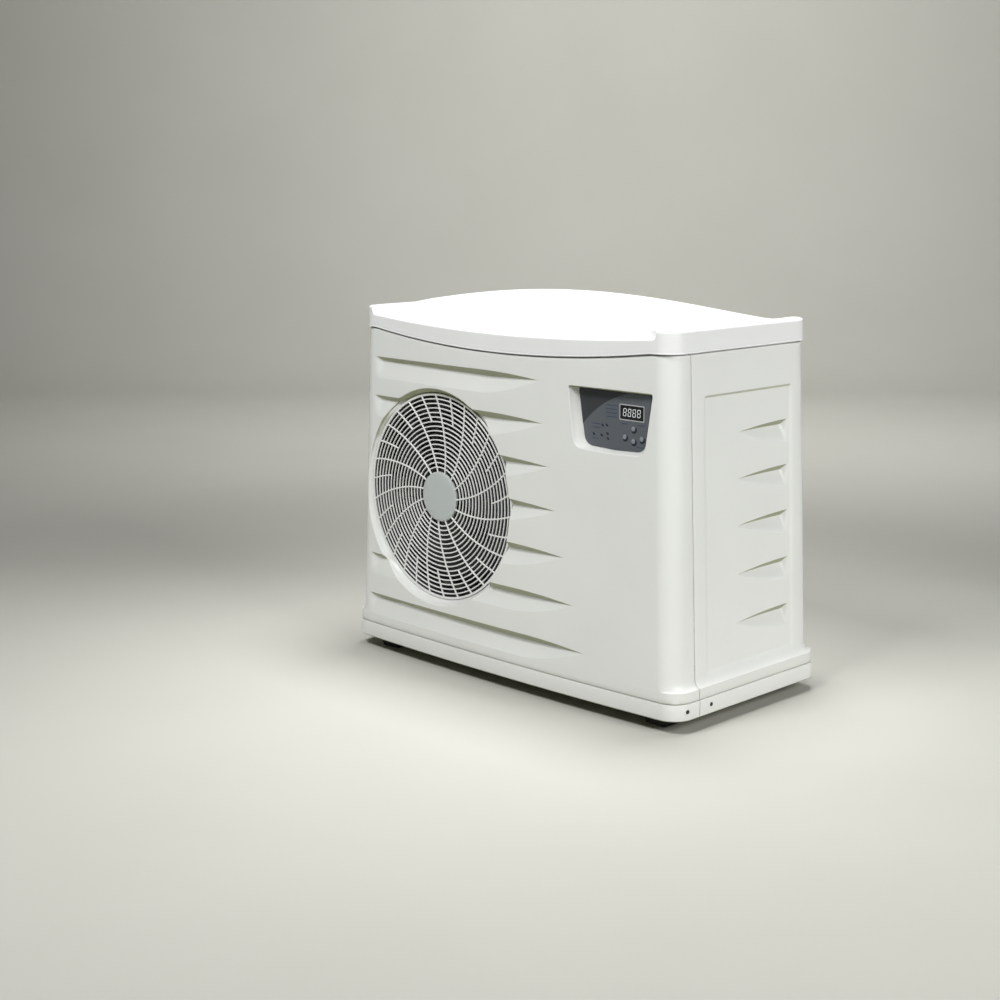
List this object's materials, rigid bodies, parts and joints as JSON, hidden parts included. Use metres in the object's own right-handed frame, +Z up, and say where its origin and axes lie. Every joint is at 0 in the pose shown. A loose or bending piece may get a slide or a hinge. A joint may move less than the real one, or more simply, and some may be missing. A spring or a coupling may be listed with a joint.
{
  "type": "pool heat pump unit",
  "caption": "Horizontal pool heat pump with a louvred moulded casing, a round fan grille, a recessed controller, a lift-off crowned lid and rear water unions.",
  "frame": {"origin": "middle of the footprint's box, on the ground under the feet", "axes": "+X to the unit's right as seen from its front, -Y out of the front where the fan blows, +Y out of the back where the water unions are, +Z up"},
  "size_m": [1.0384, 0.5606, 0.8777],
  "materials": {
    "casing_abs": "satin moulded ABS, slightly warm off-white",
    "lid_abs": "satin moulded ABS, nearly white",
    "grille_abs": "satin moulded ABS",
    "foot_rubber": "matt black",
    "fan_plastic": "satin black",
    "motor_paint": "satin black enamel",
    "galvanised_steel": "spangled zinc",
    "coil_aluminium": "fine pressed fins",
    "black_plastic": "fine texture",
    "compressor_paint": "gloss black enamel",
    "grey_pvc": "satin",
    "brass": "dull",
    "copper": "copper tube, lightly tarnished",
    "board_green": "satin solder mask",
    "button_grey": "satin",
    "panel_grey": "fine satin film",
    "display_black": "gloss",
    "screw_steel": "blackened"
  },
  "bodies": {
    "cabinet": {"front_casing": "casing_abs", "left_side_panel": "casing_abs", "right_side_panel": "casing_abs", "rear_panel": "casing_abs", "base_tray": "casing_abs", "fan_grille": "grille_abs", "foot_front_left": "foot_rubber", "foot_front_right": "foot_rubber", "foot_rear_left": "foot_rubber", "foot_rear_right": "foot_rubber", "compressor_grommet_1": "foot_rubber", "compressor_grommet_2": "foot_rubber", "compressor_grommet_3": "foot_rubber", "fan_motor": "motor_paint", "motor_bracket": "galvanised_steel", "bulkhead": "galvanised_steel", "coil_end_left": "galvanised_steel", "coil_end_right": "galvanised_steel", "electrics_box": "galvanised_steel", "electrics_cover": "galvanised_steel", "evaporator_coil": "coil_aluminium", "rear_guard": "black_plastic", "flow_switch": "black_plastic", "terminal_block": "black_plastic", "contactor": "black_plastic", "controller_housing": "black_plastic", "cable_gland": "black_plastic", "drain_spout": "black_plastic", "fan_orifice": "black_plastic", "compressor": "compressor_paint", "accumulator": "compressor_paint", "heat_exchanger": "grey_pvc", "inlet_pipe": "grey_pvc", "outlet_pipe": "grey_pvc", "inlet_tailpiece": "grey_pvc", "outlet_tailpiece": "grey_pvc", "four_way_valve": "brass", "expansion_valve": "brass", "filter_drier": "copper", "discharge_line": "copper", "suction_line": "copper", "exchanger_gas_line": "copper", "coil_gas_line": "copper", "liquid_line": "copper", "control_board": "board_green", "run_capacitor": "button_grey", "control_face": "panel_grey", "display_window": "display_black", "screw_front_left": "screw_steel", "screw_front_right": "screw_steel", "screw_side_left": "screw_steel", "screw_side_right": "screw_steel"},
    "lid_cover": {"lid": "lid_abs"},
    "fan": {"fan_rotor": "fan_plastic"},
    "button_up": {"button_up": "button_grey"},
    "button_left": {"button_left": "button_grey"},
    "button_down": {"button_down": "button_grey"},
    "button_right": {"button_right": "button_grey"},
    "inlet_nut": {"inlet_union_nut": "grey_pvc"},
    "outlet_nut": {"outlet_union_nut": "grey_pvc"}
  },
  "joints": [
    {"name": "lid_lift", "type": "slide", "parent": "cabinet", "child": "lid_cover", "axis": [0, 0, 1], "range_m": [0, 0.14]},
    {"name": "fan_spin", "type": "hinge", "parent": "cabinet", "child": "fan", "pos_m": [-0.216, -0.1775, 0.4015], "axis": [0, 1, 0], "continuous": true},
    {"name": "button_up_press", "type": "slide", "parent": "cabinet", "child": "button_up", "axis": [0, 1, 0], "range_m": [0, 0.001], "stiffness_N_per_m": 300, "springref_m": -0.001},
    {"name": "button_left_press", "type": "slide", "parent": "cabinet", "child": "button_left", "axis": [0, 1, 0], "range_m": [0, 0.001], "stiffness_N_per_m": 300, "springref_m": -0.001},
    {"name": "button_down_press", "type": "slide", "parent": "cabinet", "child": "button_down", "axis": [0, 1, 0], "range_m": [0, 0.001], "stiffness_N_per_m": 300, "springref_m": -0.001},
    {"name": "button_right_press", "type": "slide", "parent": "cabinet", "child": "button_right", "axis": [0, 1, 0], "range_m": [0, 0.001], "stiffness_N_per_m": 300, "springref_m": -0.001},
    {"name": "inlet_nut_turn", "type": "hinge", "parent": "cabinet", "child": "inlet_nut", "pos_m": [0.386, 0.247, 0.178], "axis": [0, 1, 0], "continuous": true},
    {"name": "outlet_nut_turn", "type": "hinge", "parent": "cabinet", "child": "outlet_nut", "pos_m": [0.386, 0.247, 0.448], "axis": [0, 1, 0], "continuous": true}
  ]
}
